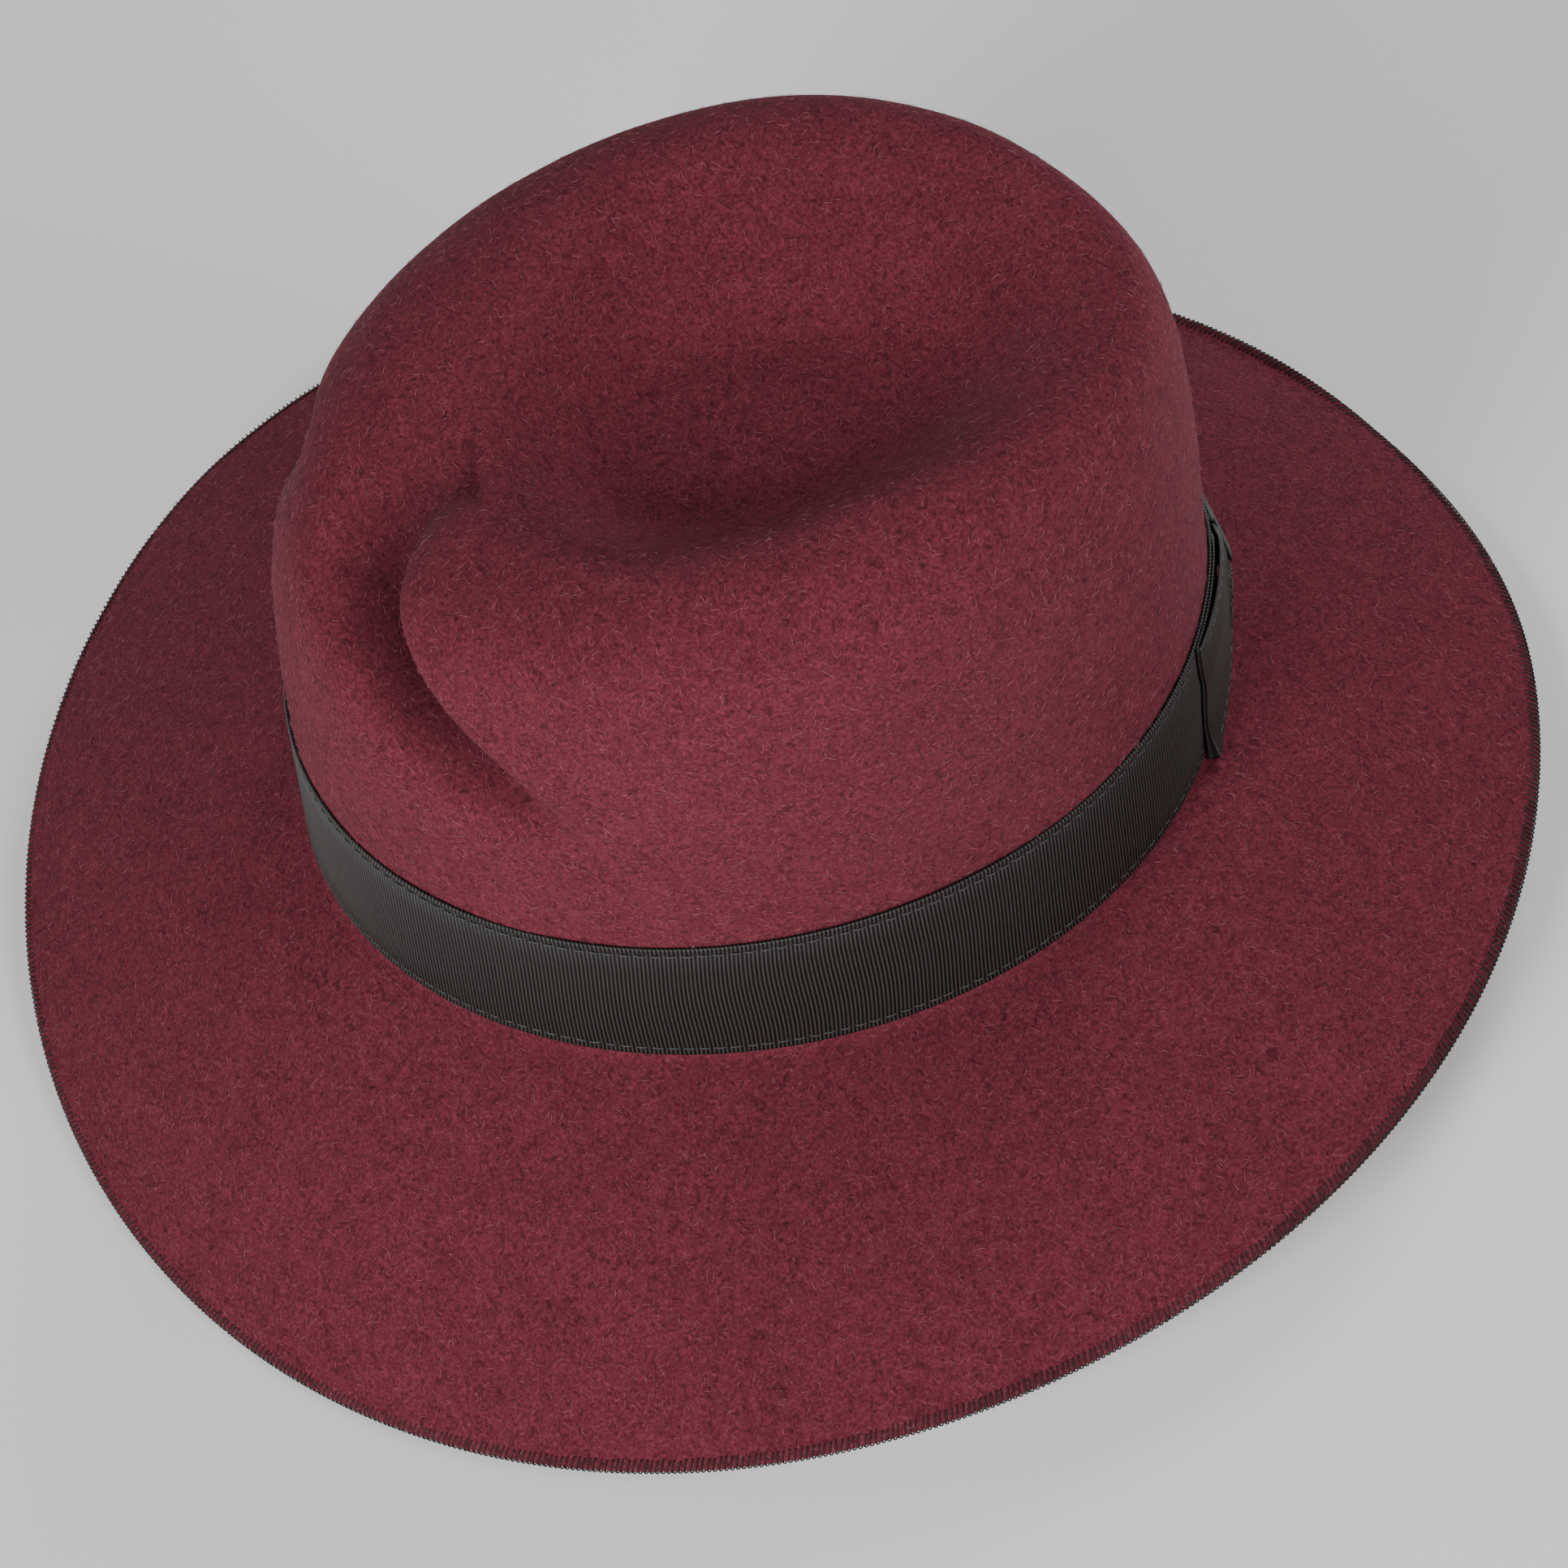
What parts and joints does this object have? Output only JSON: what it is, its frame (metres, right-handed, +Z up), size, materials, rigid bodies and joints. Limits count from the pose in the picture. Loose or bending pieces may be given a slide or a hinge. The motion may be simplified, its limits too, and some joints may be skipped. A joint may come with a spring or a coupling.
{
  "type": "fedora hat",
  "caption": "Wide brim felt hat with a teardrop crease, pinched front, sloping brim, and a black ribbed ribbon band tied with a flat bow at the back; worn on the head.",
  "frame": {"origin": "on the floor, below the middle of the hat's outline seen from above", "axes": "+Z up from the floor the brim rests on, -Y towards the front of the hat, +X towards the wearer's left"},
  "size_m": [0.3262, 0.3472, 0.1721],
  "materials": {
    "burgundy_felt": "soft brushed wool felt, heathered",
    "black_grosgrain": "ribbed ribbon with a slight sheen"
  },
  "bodies": {
    "root": {"felt_body": "burgundy_felt", "hat_band": "black_grosgrain", "ribbon_bow": "black_grosgrain", "bow_knot": "black_grosgrain"}
  },
  "joints": []
}
